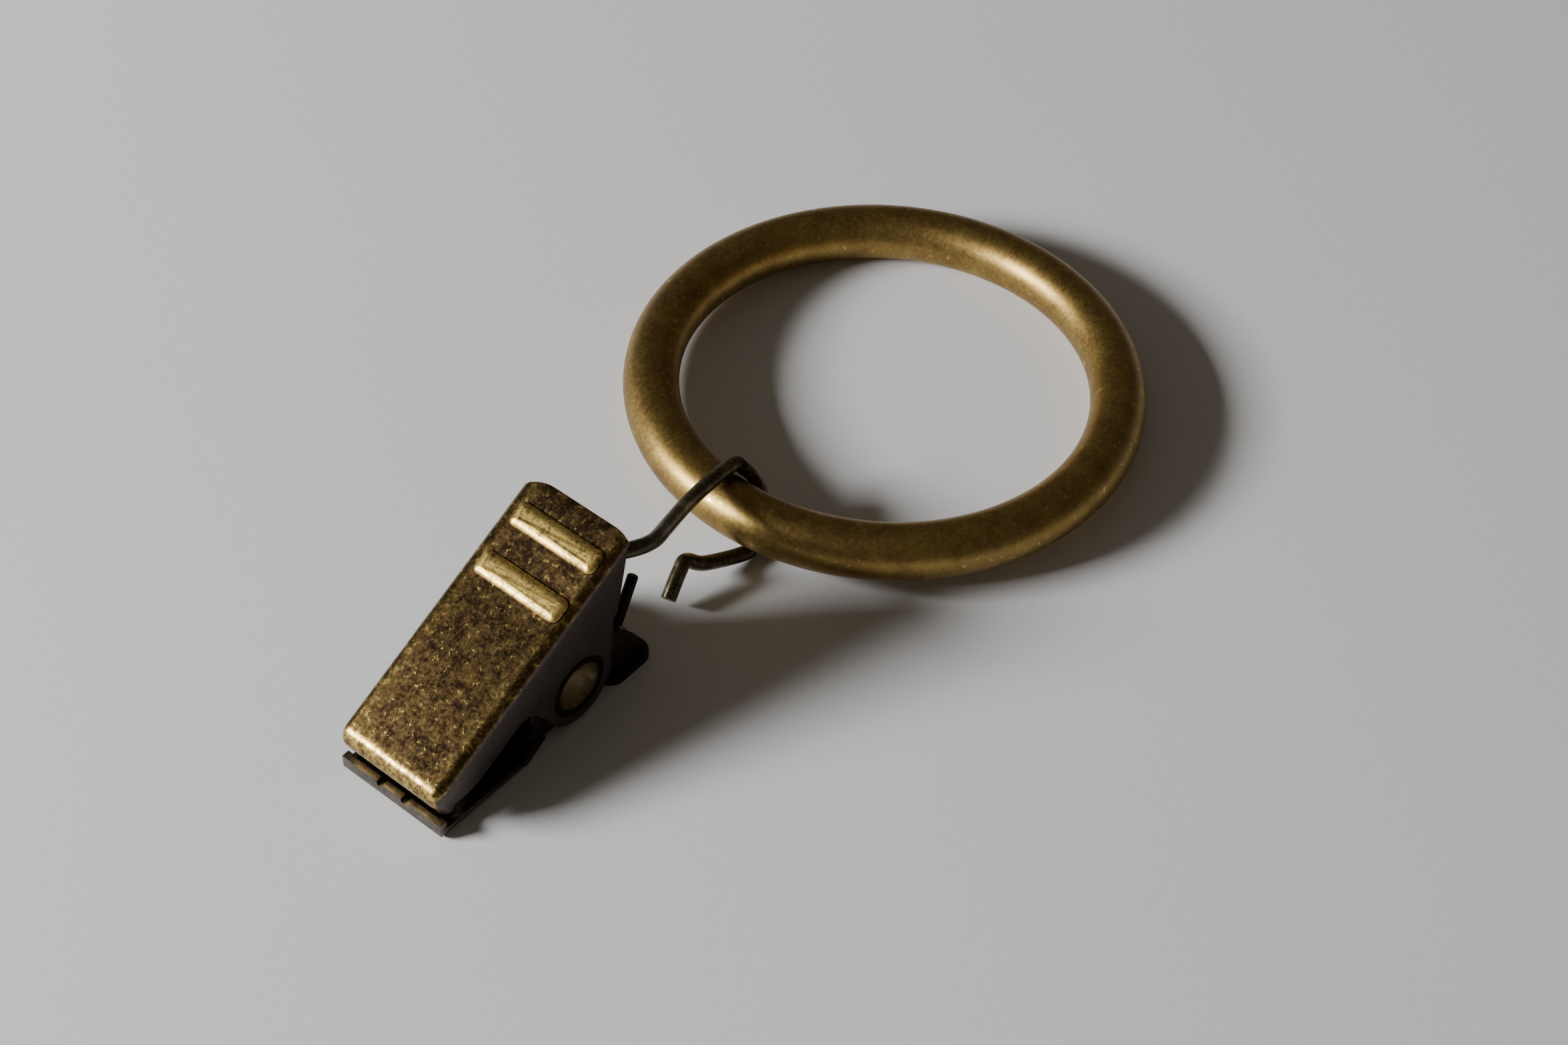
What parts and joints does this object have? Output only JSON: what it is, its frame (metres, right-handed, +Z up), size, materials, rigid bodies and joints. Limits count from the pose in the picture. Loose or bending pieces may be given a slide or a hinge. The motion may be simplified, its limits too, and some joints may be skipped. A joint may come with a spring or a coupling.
{
  "type": "curtain ring with clip",
  "caption": "Curtain ring with a wire hanger and a sprung pressed-metal clip that grips the edge of a curtain.",
  "frame": {"origin": "on the table, under the middle of the part's bounding box", "axes": "+X from the clip's lips to the ring, +Z up, the clip and the ring lying on the table"},
  "size_m": [0.0868, 0.0484, 0.0173],
  "materials": {
    "ring_brass": "satin antique brass",
    "clip_brass": "mottled antique brass, worn at the folds",
    "dark_wire": "darkened steel wire"
  },
  "bodies": {
    "lower": {"lower_jaw": "clip_brass", "pivot_pin": "clip_brass", "torsion_spring": "dark_wire"},
    "upper": {"upper_jaw": "clip_brass"},
    "hanger": {"hanger_wire": "dark_wire"},
    "ring": {"curtain_ring": "ring_brass"}
  },
  "joints": [
    {"name": "jaw_pivot", "type": "hinge", "parent": "lower", "child": "upper", "pos_m": [-0.02652, 0.0017, 0.0045], "axis": [0, 1, 0], "range_deg": [0, 20], "stiffness_Nm_per_rad": 0.12, "springref_deg": -34.38, "deforming": ["torsion_spring"]},
    {"name": "hanger_swing", "type": "hinge", "parent": "upper", "child": "hanger", "pos_m": [-0.02182, 0.0017, 0.0133], "axis": [0, 1, 0], "range_deg": [-6, 6]},
    {"name": "ring_swing", "type": "hinge", "parent": "hanger", "child": "ring", "pos_m": [-0.00237, 0, 0.00417], "axis": [0, 1, 0], "range_deg": [-90, 45]}
  ]
}
